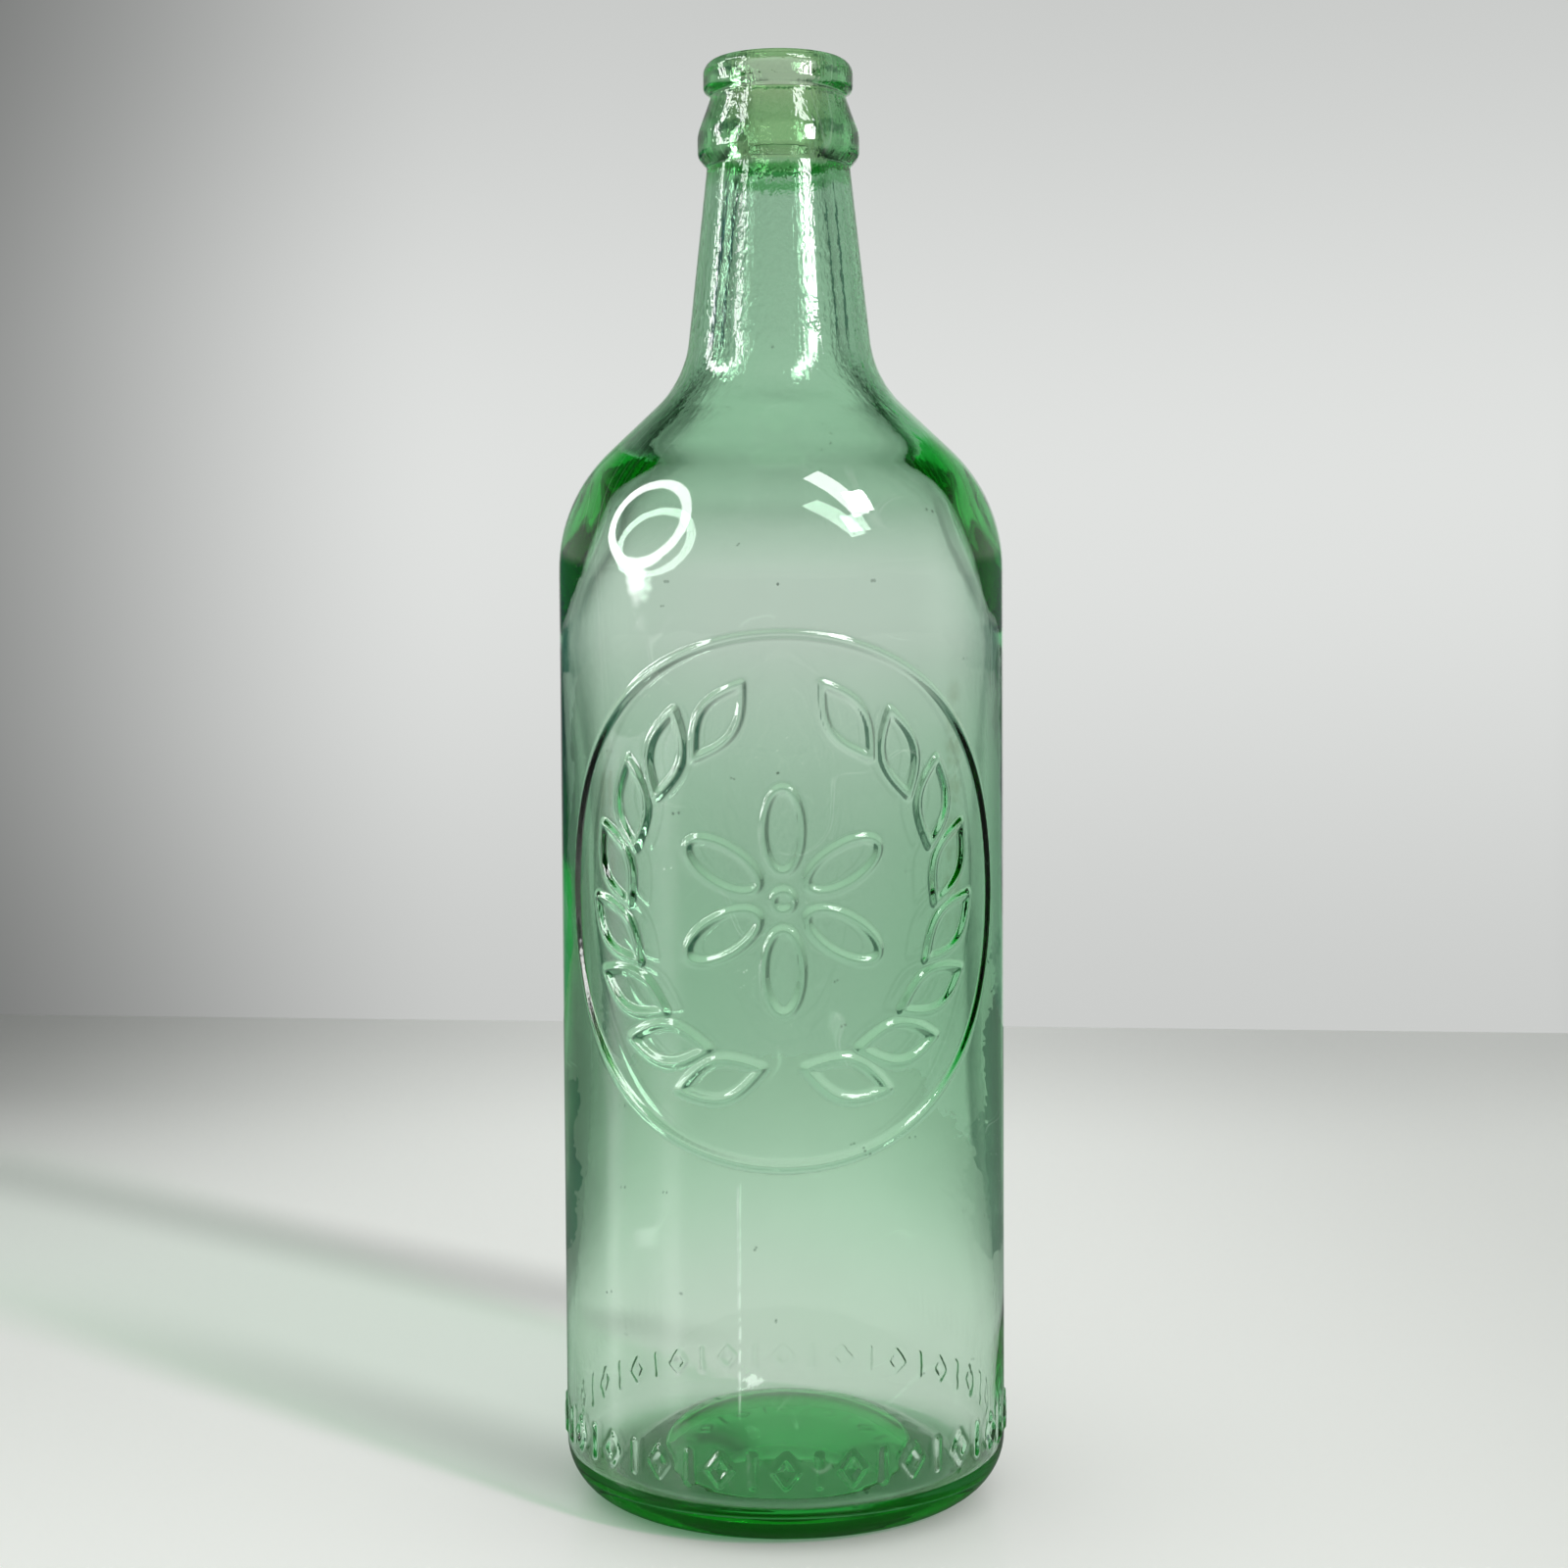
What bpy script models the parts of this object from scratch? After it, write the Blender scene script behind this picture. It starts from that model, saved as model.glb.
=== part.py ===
"""Cordial bottle: one piece of pale green glass, blown in a mould, open at the mouth.

The bottle is a single turned wall. Its half section is two lists of corners, one for the outside
and one for the inside, and each corner has its own fillet. The raised ornament on the front and
round the heel is drawn flat, wrapped on the barrel and joined to the wall. Lengths are in metres and
+Z is up. The bottle stands on z = 0, its axis is x = y = 0, and its ornamented front faces -Y.
"""

import math

import bmesh
import bpy
from mathutils import Matrix, Vector

# Barrel
HEIGHT = 0.2562
BODY_RADIUS = 0.0397
BODY_WALL = 0.0038

# Shoulder and neck: a cone between the barrel and the neck, with a fillet at each end
SHOULDER_BREAK_HEIGHT = 0.1786
SHOULDER_SLOPE_DEG = 46.7
SHOULDER_FILLET = 0.0288
SHOULDER_WALL = 0.0046
NECK_TOP_RADIUS = 0.01275
NECK_TAPER_DEG = 6.45
NECK_FILLET = 0.0190
NECK_WALL = 0.0038

# Crown finish, measured down from the lip
LIP_RADIUS = 0.0133
LIP_TOP_FILLET = 0.0026
LIP_BOTTOM_FILLET = 0.0012
LIP_SIDE_DEPTH = 0.0054
GROOVE_DEPTH = 0.0062
GROOVE_RADIUS = 0.0119
GROOVE_FILLET = 0.0008
BEAD_RADIUS = 0.0144
BEAD_TOP_DEPTH = 0.0130
BEAD_TOP_FILLET = 0.0060
BEAD_BOTTOM_DEPTH = 0.0169
BEAD_BOTTOM_FILLET = 0.0022
FINISH_DEPTH = 0.0188
FINISH_FOOT_FILLET = 0.0006
BORE_RADIUS = 0.0082
BORE_EDGE_FILLET = 0.0012

# Heel, bearing ring and push-up
HEEL_FILLET = 0.0117
BEARING_WIDTH = 0.0040
PUSH_UP_DEPTH = 0.0135
PUSH_UP_FILLET = 0.0015
CAVITY_FLOOR_HEIGHT = 0.0070
CAVITY_HEEL_FILLET = 0.0060
CAVITY_DOME_INSET = 0.0078
CAVITY_DOME_FILLET = 0.0060
BASE_CENTRE_WALL = 0.0060

# Raised ornament: rounded lines on the front and round the heel
LINE_HALF_WIDTH = 0.00095
LINE_CREST = 0.00075
MEDALLION_HEIGHT = 0.1104
RING_RADIUS = 0.0443
LEAF_RING_RADIUS = 0.0318
LEAF_LENGTH = 0.0150
LEAF_WIDTH = 0.0066
LEAF_TILT_DEG = 36.0
LEAVES_EACH_SIDE = 8
WREATH_END_GAP_DEG = 10.0
PETAL_RING_RADIUS = 0.0118
PETAL_LENGTH = 0.0140
PETAL_WIDTH = 0.0064
PETAL_COUNT = 6
SEED_RADIUS = 0.0017
HEEL_BAND_HEIGHT = 0.01435
HEEL_MARK_LENGTH = 0.0050
LOZENGE_WIDTH = 0.0036
HEEL_MARK_PAIRS = 22

# Facets of the turned wall, and points along each kind of line
TURN_STEPS = 48
RING_POINTS = 48
LEAF_SIDE_POINTS = 3
PETAL_POINTS = 10
SEED_POINTS = 6
MERGE_DISTANCE = 0.00001

# A line is sunk by twice the depth of a facet's middle below the true round
LINE_SINK = 2 * BODY_RADIUS * (1 - math.cos(math.pi / TURN_STEPS))

# The most that a fillet may take of a straight side, so that two fillets never meet
FILLET_REACH_SHARE = 0.49

GLASS_COLOUR = (0.55, 0.80, 0.62, 1.0)
GLASS_ROUGHNESS = 0.03
GLASS_IOR = 1.52


def direction(degrees_from_up):
    """A unit step in the (radius, height) plane that leans inwards from straight up."""
    lean = math.radians(degrees_from_up)
    return Vector((-math.sin(lean), math.cos(lean)))


def crossing(start_a, along_a, start_b, along_b):
    """The point where two lines in the (radius, height) plane meet."""
    cross = along_a.x * along_b.y - along_a.y * along_b.x
    gap = start_b - start_a
    return start_a + along_a * ((gap.x * along_b.y - gap.y * along_b.x) / cross)


def rounded(corners):
    """Points along a chain of corners, each a (point, fillet radius, fillet steps)."""
    points = [corners[0][0]]
    for before, (corner, fillet, steps), after in zip(corners, corners[1:], corners[2:]):
        back, ahead = before[0] - corner, after[0] - corner
        opening = back.angle(ahead)
        if not fillet:
            points.append(corner)
            continue
        longest = FILLET_REACH_SHARE * min(back.length, ahead.length)
        reach = min(fillet / math.tan(opening / 2), longest)
        start, end = corner + back.normalized() * reach, corner + ahead.normalized() * reach
        middle = (back.normalized() + ahead.normalized()).normalized()
        centre = corner + middle * (reach / math.cos(opening / 2))
        arm = start - centre
        turn = arm.angle_signed(end - centre)
        for step in range(steps + 1):
            points.append(centre + Matrix.Rotation(-turn * step / steps, 2) @ arm)
    points.append(corners[-1][0])
    return points


def cap(edge, apex_height, steps):
    """Points of a shallow dome from its apex on the axis out to its edge, without the edge itself."""
    rise = apex_height - edge.y
    radius = (edge.x ** 2 + rise ** 2) / (2 * rise)
    whole = math.asin(min(1, edge.x / radius))
    angles = [whole * step / steps for step in range(steps)]
    return [Vector((radius * math.sin(a), apex_height - radius * (1 - math.cos(a)))) for a in angles]


def outer_lines():
    """A start and a direction for the barrel's, shoulder's and neck's outer faces."""
    barrel = Vector((BODY_RADIUS, SHOULDER_BREAK_HEIGHT)), direction(0)
    shoulder = Vector((BODY_RADIUS, SHOULDER_BREAK_HEIGHT)), direction(SHOULDER_SLOPE_DEG)
    neck = Vector((NECK_TOP_RADIUS, HEIGHT - FINISH_DEPTH)), direction(NECK_TAPER_DEG)
    return barrel, shoulder, neck


def inset(line, wall):
    """The same line moved into the bottle by the wall's thickness."""
    start, along = line
    return start - Vector((along.y, -along.x)) * wall, along


def outside_corners():
    """Corners of the outer face from the lip down to the push-up's rim."""
    barrel, shoulder, neck = outer_lines()
    bearing_inner = BODY_RADIUS - HEEL_FILLET - BEARING_WIDTH
    return [
        (Vector((LIP_RADIUS, HEIGHT)), LIP_TOP_FILLET, 4),
        (Vector((LIP_RADIUS, HEIGHT - LIP_SIDE_DEPTH)), LIP_BOTTOM_FILLET, 2),
        (Vector((GROOVE_RADIUS, HEIGHT - GROOVE_DEPTH)), GROOVE_FILLET, 2),
        (Vector((BEAD_RADIUS, HEIGHT - BEAD_TOP_DEPTH)), BEAD_TOP_FILLET, 3),
        (Vector((BEAD_RADIUS, HEIGHT - BEAD_BOTTOM_DEPTH)), BEAD_BOTTOM_FILLET, 3),
        (neck[0], FINISH_FOOT_FILLET, 1),
        (crossing(*shoulder, *neck), NECK_FILLET, 5),
        (shoulder[0], SHOULDER_FILLET, 7),
        (Vector((BODY_RADIUS, 0)), HEEL_FILLET, 5),
        (Vector((bearing_inner, 0)), PUSH_UP_FILLET, 2),
    ]


def inside_corners():
    """Corners of the cavity from the edge of its domed floor up to the mouth."""
    barrel, shoulder, neck = outer_lines()
    inner_barrel, inner_shoulder = inset(barrel, BODY_WALL), inset(shoulder, SHOULDER_WALL)
    inner_neck = inset(neck, NECK_WALL)
    floor = Vector((0, CAVITY_FLOOR_HEIGHT)), Vector((1, 0))
    floor_corner = crossing(*inner_barrel, *floor)
    dome_edge = floor_corner - Vector((CAVITY_DOME_INSET, 0))
    bore_foot = crossing(*inner_neck, Vector((0, HEIGHT - FINISH_DEPTH)), Vector((1, 0)))
    return [
        (dome_edge, CAVITY_DOME_FILLET, 3),
        (floor_corner, CAVITY_HEEL_FILLET, 4),
        (crossing(*inner_barrel, *inner_shoulder), SHOULDER_FILLET - SHOULDER_WALL, 6),
        (crossing(*inner_shoulder, *inner_neck), NECK_FILLET + NECK_WALL, 4),
        (bore_foot, NECK_FILLET, 1),
        (Vector((BORE_RADIUS, HEIGHT)), BORE_EDGE_FILLET, 2),
    ]


def wall_outline():
    """The wall's half section: up the inside from the floor's centre, over the lip and down the outside."""
    inside, outside = inside_corners(), outside_corners()
    floor_dome = cap(inside[0][0], PUSH_UP_DEPTH + BASE_CENTRE_WALL, 6)
    push_up = cap(outside[-1][0], PUSH_UP_DEPTH, 6)
    corners = [(point, 0, 0) for point in floor_dome] + inside + outside
    corners += [(point, 0, 0) for point in reversed(push_up)]
    return rounded(corners)


def glass_material():
    """Clear pale green glass."""
    material = bpy.data.materials.new("pale_green_glass")
    material.use_nodes = True
    shader = material.node_tree.nodes["Principled BSDF"]
    shader.inputs["Base Color"].default_value = GLASS_COLOUR
    shader.inputs["Roughness"].default_value = GLASS_ROUGHNESS
    shader.inputs["Metallic"].default_value = 0
    shader.inputs["IOR"].default_value = GLASS_IOR
    shader.inputs["Transmission Weight"].default_value = 1
    return material


def turned_wall(collection):
    """The glass wall, turned from its half section by a Screw modifier."""
    outline = wall_outline()
    mesh = bpy.data.meshes.new("glass_bottle")
    edges = [(i, i + 1) for i in range(len(outline) - 1)]
    mesh.from_pydata([(point.x, 0, point.y) for point in outline], edges, [])
    bottle = bpy.data.objects.new("glass_bottle", mesh)
    collection.objects.link(bottle)
    turn = bottle.modifiers.new("turn", "SCREW")
    turn.axis = "Z"
    turn.angle = 2 * math.pi
    turn.steps = turn.render_steps = TURN_STEPS
    turn.use_merge_vertices = True
    turn.merge_threshold = MERGE_DISTANCE
    turn.use_smooth_shade = True
    return bottle


def loop(centre, long_radius, wide_radius, turn, count):
    """An oval line on the unrolled barrel, its long way turned from the level."""
    outline = []
    for i in range(count):
        swing = 2 * math.pi * i / count
        along, across = long_radius * math.cos(swing), wide_radius * math.sin(swing)
        outline.append((centre[0] + along * math.cos(turn) - across * math.sin(turn),
                        centre[1] + along * math.sin(turn) + across * math.cos(turn)))
    return outline


def ring():
    """The plain ring round the ornament."""
    return loop((0, MEDALLION_HEIGHT), RING_RADIUS, RING_RADIUS, 0, RING_POINTS)


def leaf(turn, side):
    """One pointed leaf of the wreath, its tip leaning outwards and up on its own side of the ring."""
    steps = LEAF_SIDE_POINTS + 1
    shares = [i / steps for i in range(steps + 1)]
    upper = [(share - 0.5, math.sin(math.pi * share) / 2) for share in shares]
    lower = [(share - 0.5, -math.sin(math.pi * share) / 2) for share in reversed(shares[1:-1])]
    lean = turn + math.radians(90 - LEAF_TILT_DEG)
    outline = []
    for along_share, across_share in upper + lower:
        along, across = along_share * LEAF_LENGTH, across_share * LEAF_WIDTH
        x = LEAF_RING_RADIUS * math.cos(turn) + along * math.cos(lean) - across * math.sin(lean)
        z = LEAF_RING_RADIUS * math.sin(turn) + along * math.sin(lean) + across * math.cos(lean)
        outline.append((side * x, MEDALLION_HEIGHT + z))
    return outline


def wreath():
    """Two branches of leaves that climb both sides inside the ring, open at the bottom and the top."""
    first = math.radians(WREATH_END_GAP_DEG - 90)
    spread = -2 * first / LEAVES_EACH_SIDE
    turns = [first + spread * (i + 0.5) for i in range(LEAVES_EACH_SIDE)]
    return [leaf(turn, side) for side in (1, -1) for turn in turns]


def flower():
    """Oval petals round a small seed, in the middle of the wreath."""
    lines = [loop((0, MEDALLION_HEIGHT), SEED_RADIUS, SEED_RADIUS, 0, SEED_POINTS)]
    for i in range(PETAL_COUNT):
        turn = 2 * math.pi * (i + 0.5) / PETAL_COUNT
        centre = (PETAL_RING_RADIUS * math.cos(turn), MEDALLION_HEIGHT + PETAL_RING_RADIUS * math.sin(turn))
        lines.append(loop(centre, PETAL_LENGTH / 2, PETAL_WIDTH / 2, turn, PETAL_POINTS))
    return lines


def heel_lozenges():
    """Upright lozenges round the heel, at every second place."""
    pitch = 2 * math.pi * BODY_RADIUS / HEEL_MARK_PAIRS
    wide, tall = LOZENGE_WIDTH / 2, HEEL_MARK_LENGTH / 2
    marks = []
    for i in range(HEEL_MARK_PAIRS):
        x, z = i * pitch, HEEL_BAND_HEIGHT
        marks.append([(x + wide, z), (x, z + tall), (x - wide, z), (x, z - tall)])
    return marks


def heel_bars():
    """Short upright bars round the heel, halfway between the lozenges."""
    pitch = 2 * math.pi * BODY_RADIUS / HEEL_MARK_PAIRS
    low, high = HEEL_BAND_HEIGHT - HEEL_MARK_LENGTH / 2, HEEL_BAND_HEIGHT + HEEL_MARK_LENGTH / 2
    return [[((i + 0.5) * pitch, low), ((i + 0.5) * pitch, high)] for i in range(HEEL_MARK_PAIRS)]


def flat_lines(name, lines, closed):
    """A flat curve with a four-sided bevel along each line, x running round the bottle and y up it."""
    curve = bpy.data.curves.new(name, "CURVE")
    curve.dimensions = "2D"
    curve.fill_mode = "NONE"
    curve.bevel_depth = LINE_HALF_WIDTH
    curve.bevel_resolution = 0
    curve.use_fill_caps = not closed
    for line in lines:
        spline = curve.splines.new("POLY")
        spline.points.add(len(line) - 1)
        for point, (x, z) in zip(spline.points, line):
            point.co = (x, z, 0, 1)
        spline.use_cyclic_u = closed
    return bpy.data.objects.new(name, curve)


def wrapped(name, lines, closed, collection):
    """The lines as a mesh wrapped on the barrel, their lower halves sunk in the glass."""
    flat = flat_lines(name + "_flat", lines, closed)
    collection.objects.link(flat)
    bpy.context.view_layer.update()
    evaluated = flat.evaluated_get(bpy.context.evaluated_depsgraph_get())
    mesh = bpy.data.meshes.new_from_object(evaluated)
    bpy.data.objects.remove(flat)
    shape = bmesh.new()
    shape.from_mesh(mesh)
    bmesh.ops.remove_doubles(shape, verts=shape.verts, dist=MERGE_DISTANCE)
    for vert in shape.verts:
        turn = vert.co.x / BODY_RADIUS
        out = BODY_RADIUS - LINE_SINK + vert.co.z * LINE_CREST / LINE_HALF_WIDTH
        vert.co = (out * math.sin(turn), -out * math.cos(turn), vert.co.y)
    shape.to_mesh(mesh)
    shape.free()
    relief = bpy.data.objects.new(name, mesh)
    relief.hide_render = True
    relief.display_type = "WIRE"
    collection.objects.link(relief)
    return relief


def join_relief(bottle, relief):
    """Join a raised ornament to the wall, so that both are one body."""
    join = bottle.modifiers.new("join_" + relief.name, "BOOLEAN")
    join.operation = "UNION"
    join.solver = "EXACT"
    join.object = relief


def main():
    for old in list(bpy.data.objects):
        bpy.data.objects.remove(old)
    parts = bpy.data.collections.new("cordial_bottle")
    helpers = bpy.data.collections.new("cutters")
    bpy.context.scene.collection.children.link(parts)
    bpy.context.scene.collection.children.link(helpers)
    bottle = turned_wall(parts)
    bottle.data.materials.append(glass_material())
    join_relief(bottle, wrapped("front_ornament", [ring(), *wreath(), *flower()], True, helpers))
    join_relief(bottle, wrapped("heel_lozenges", heel_lozenges(), True, helpers))
    join_relief(bottle, wrapped("heel_bars", heel_bars(), False, helpers))


main()
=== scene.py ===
"""Cordial bottle: the glass, finished, and the stage that it stands on.

The bottle is one closed skin. Its half section is turned round the axis, and its ornament is a
height over the unrolled barrel. Places on the half section and on the unrolled barrel are complex
numbers: radius + height j, and distance round the barrel + height j. Lengths are in metres.
"""

import math

import bpy
import numpy as np
from mathutils import Matrix, Vector


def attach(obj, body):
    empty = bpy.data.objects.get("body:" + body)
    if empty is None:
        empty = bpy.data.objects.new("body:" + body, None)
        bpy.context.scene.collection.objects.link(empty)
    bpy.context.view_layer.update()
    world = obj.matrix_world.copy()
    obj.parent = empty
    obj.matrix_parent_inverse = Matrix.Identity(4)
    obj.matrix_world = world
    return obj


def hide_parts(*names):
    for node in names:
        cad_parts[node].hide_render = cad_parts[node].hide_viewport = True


bl_info = {
    "name": "Cordial Bottle",
    "version": (1, 0, 0),
    "blender": (4, 5, 0),
    "location": "View3D > Sidebar > Cordial Bottle",
    "description": "A pale green glass bottle with a raised wreath, on a plain table",
    "category": "Object",
}

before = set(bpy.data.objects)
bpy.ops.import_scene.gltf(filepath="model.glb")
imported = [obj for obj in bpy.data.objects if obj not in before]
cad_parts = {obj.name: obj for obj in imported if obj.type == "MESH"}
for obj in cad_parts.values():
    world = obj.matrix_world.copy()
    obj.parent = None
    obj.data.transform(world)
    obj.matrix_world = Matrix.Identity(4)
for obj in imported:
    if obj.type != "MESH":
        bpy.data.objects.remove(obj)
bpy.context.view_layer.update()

MILLIMETRE = 0.001
UP = 1j

# The lip and its bead: radius, depth under the lip and fillet in millimetres, and the arc's steps
FINISH_CORNERS = ((13.3, 0.0, 2.6, 8), (13.3, 5.4, 1.2, 5), (11.9, 6.2, 0.8, 4),
                  (14.4, 13.0, 6.0, 7), (14.4, 16.9, 2.2, 6))
FLOOR_FILLET = 6.0 * MILLIMETRE
LIP_FILLET = 1.2 * MILLIMETRE
BEAD_FILLET = 1.0 * MILLIMETRE
BEARING_FILLET = 1.5 * MILLIMETRE
DOME_STEPS = 14
INNER_STEP, OUTER_STEP = 6.0 * MILLIMETRE, 4.5 * MILLIMETRE
LONGEST_FILLET_SHARE = 0.49

# The inner wall's waves, its belly and the lobes at the shoulder's sides
WAVE_DEPTH = 0.45 * MILLIMETRE
BELLY_POWER = 1.2
LOBE_POWER, LOBE_UPPER_SHARE, LOBE_NARROWNESS = 1.3, 0.70, 14

# Columns round the bottle and in half the medallion; fine columns and rows to each coarse one
COLUMNS, MEDALLION_COLUMNS = 124, 23
FINE, FINE_ROWS = 5, 10

# The camera fitted to the photograph: metres, degrees down, aside and rolled, and millimetres
CAMERA_PLACE, CAMERA_ANGLES, CAMERA_LENS = (0, -0.480, 0.1546), (3.2006, 0.0395, -0.3374), 61.26

BLACK = (0, 0, 0, 1)

# How soft the lamps' edges look: of the box in tangents, and of the ring in cosines
BOX_EDGE, RING_EDGE = 0.008, 0.004


class BottleSizes(bpy.types.PropertyGroup):
    """The glass wall's half section."""

    height: bpy.props.FloatProperty(
        name="Height", description="From the table to the lip", default=0.2562, unit="LENGTH")
    body_radius: bpy.props.FloatProperty(
        name="Barrel radius", description="Outer radius of the barrel",
        default=0.0397, unit="LENGTH")
    body_wall: bpy.props.FloatProperty(
        name="Barrel wall", description="Thickness of the barrel's glass at its top and foot",
        default=0.0015, unit="LENGTH")
    belly_wall: bpy.props.FloatProperty(
        name="Belly wall", description="How much thicker the barrel's glass is halfway up",
        default=0.0025, unit="LENGTH")
    belly_height: bpy.props.FloatProperty(
        name="Belly height", description="Where the barrel's glass is thickest",
        default=0.0930, unit="LENGTH")
    belly_reach: bpy.props.FloatProperty(
        name="Belly reach", description="How far up and down the thick glass goes",
        default=0.0600, unit="LENGTH")
    lobe_wall: bpy.props.FloatProperty(
        name="Lobe wall", description="How much thicker the shoulder's glass is at both sides",
        default=0.0033, unit="LENGTH")
    lobe_height: bpy.props.FloatProperty(
        name="Lobe height", description="Where the shoulder's thick sides reach furthest in",
        default=0.1745, unit="LENGTH")
    lobe_reach: bpy.props.FloatProperty(
        name="Lobe reach", description="How far down the shoulder's thick sides go",
        default=0.0182, unit="LENGTH")
    shoulder_height: bpy.props.FloatProperty(
        name="Shoulder height", description="Where the shoulder's cone meets the barrel",
        default=0.1786, unit="LENGTH")
    shoulder_slope: bpy.props.FloatProperty(
        name="Shoulder slope", description="Lean of the shoulder's cone from straight up",
        default=math.radians(46.7), unit="ROTATION")
    shoulder_fillet: bpy.props.FloatProperty(
        name="Shoulder fillet", description="Rounding between the barrel and the shoulder",
        default=0.0288, unit="LENGTH")
    shoulder_wall: bpy.props.FloatProperty(
        name="Shoulder wall", description="Thickness of the shoulder's glass next to the barrel",
        default=0.0033, unit="LENGTH")
    shoulder_top_wall: bpy.props.FloatProperty(
        name="Shoulder top wall", description="Thickness of the shoulder's glass next to the neck",
        default=0.0038, unit="LENGTH")
    shoulder_inner_fillet: bpy.props.FloatProperty(
        name="Shoulder inner fillet", description="Rounding inside, from barrel to shoulder",
        default=0.0240, unit="LENGTH")
    neck_radius: bpy.props.FloatProperty(
        name="Neck radius", description="Outer radius of the neck under its finish",
        default=0.01275, unit="LENGTH")
    neck_taper: bpy.props.FloatProperty(
        name="Neck taper", description="Lean of the neck from straight up",
        default=math.radians(6.45), unit="ROTATION")
    neck_fillet: bpy.props.FloatProperty(
        name="Neck fillet", description="Rounding between the shoulder and the neck",
        default=0.0190, unit="LENGTH")
    neck_wall: bpy.props.FloatProperty(
        name="Neck wall", description="Thickness of the neck's glass",
        default=0.0038, unit="LENGTH")
    finish_depth: bpy.props.FloatProperty(
        name="Finish depth", description="Depth of the lip and its bead, from the lip down",
        default=0.0188, unit="LENGTH")
    bore_radius: bpy.props.FloatProperty(
        name="Bore radius", description="Inner radius at the mouth", default=0.0082, unit="LENGTH")
    heel_fillet: bpy.props.FloatProperty(
        name="Heel fillet", description="Rounding between the barrel and the base",
        default=0.0110, unit="LENGTH")
    bearing_width: bpy.props.FloatProperty(
        name="Bearing width", description="Width of the flat ring that it stands on",
        default=0.0100, unit="LENGTH")
    push_up_depth: bpy.props.FloatProperty(
        name="Push-up depth", description="Rise of the hollow under the base",
        default=0.0050, unit="LENGTH")
    base_wall: bpy.props.FloatProperty(
        name="Base wall", description="Thickness of the base over the hollow's middle",
        default=0.0110, unit="LENGTH")
    floor_height: bpy.props.FloatProperty(
        name="Floor height", description="Lowest point of the inside",
        default=0.0058, unit="LENGTH")
    floor_inset: bpy.props.FloatProperty(
        name="Floor inset", description="Width of the gutter round the inside's domed floor",
        default=0.0080, unit="LENGTH")


class OrnamentSizes(bpy.types.PropertyGroup):
    """The raised lines on the front and round the heel."""

    line_width: bpy.props.FloatProperty(
        name="Line width", description="Width of a raised line at its foot",
        default=0.0021, unit="LENGTH")
    line_rise: bpy.props.FloatProperty(
        name="Line rise", description="Height of a raised line", default=0.00055, unit="LENGTH")
    medallion_height: bpy.props.FloatProperty(
        name="Medallion height", description="Height of the ornament's middle",
        default=0.1104, unit="LENGTH")
    ring_radius: bpy.props.FloatProperty(
        name="Ring radius", description="Radius of the plain ring round the ornament",
        default=0.0443, unit="LENGTH")
    wreath_radius: bpy.props.FloatProperty(
        name="Wreath radius", description="Radius at which the leaves' middles lie",
        default=0.0318, unit="LENGTH")
    leaf_length: bpy.props.FloatProperty(
        name="Leaf length", description="Length of one leaf", default=0.0150, unit="LENGTH")
    leaf_width: bpy.props.FloatProperty(
        name="Leaf width", description="Width of one leaf", default=0.0066, unit="LENGTH")
    leaf_tilt: bpy.props.FloatProperty(
        name="Leaf tilt", description="Turn of a leaf outwards from the wreath's ring",
        default=math.radians(36.0), unit="ROTATION")
    leaves_each_side: bpy.props.IntProperty(
        name="Leaves each side", description="Leaves on each branch", default=8)
    wreath_gap: bpy.props.FloatProperty(
        name="Wreath gap", description="Half of the opening at each end of the wreath",
        default=math.radians(10.0), unit="ROTATION")
    petal_ring_radius: bpy.props.FloatProperty(
        name="Petal ring radius", description="Radius at which the petals' middles lie",
        default=0.0118, unit="LENGTH")
    petal_length: bpy.props.FloatProperty(
        name="Petal length", description="Length of one petal", default=0.0140, unit="LENGTH")
    petal_width: bpy.props.FloatProperty(
        name="Petal width", description="Width of one petal", default=0.0064, unit="LENGTH")
    petal_count: bpy.props.IntProperty(name="Petals", description="Petals of the flower", default=6)
    seed_radius: bpy.props.FloatProperty(
        name="Seed radius", description="Radius of the flower's middle",
        default=0.0017, unit="LENGTH")
    heel_line_width: bpy.props.FloatProperty(
        name="Heel line width", description="Width of a heel mark's line at its foot",
        default=0.0017, unit="LENGTH")
    heel_line_rise: bpy.props.FloatProperty(
        name="Heel line rise", description="Height of a heel mark's line",
        default=0.00045, unit="LENGTH")
    heel_band_height: bpy.props.FloatProperty(
        name="Heel band height", description="Height of the heel marks' middles",
        default=0.01435, unit="LENGTH")
    heel_mark_length: bpy.props.FloatProperty(
        name="Heel mark length", description="Length of a lozenge or a bar",
        default=0.0050, unit="LENGTH")
    lozenge_width: bpy.props.FloatProperty(
        name="Lozenge width", description="Width of a lozenge", default=0.0036, unit="LENGTH")
    heel_mark_pairs: bpy.props.IntProperty(
        name="Heel marks", description="Lozenges round the heel, and as many bars between them",
        default=22)


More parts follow.
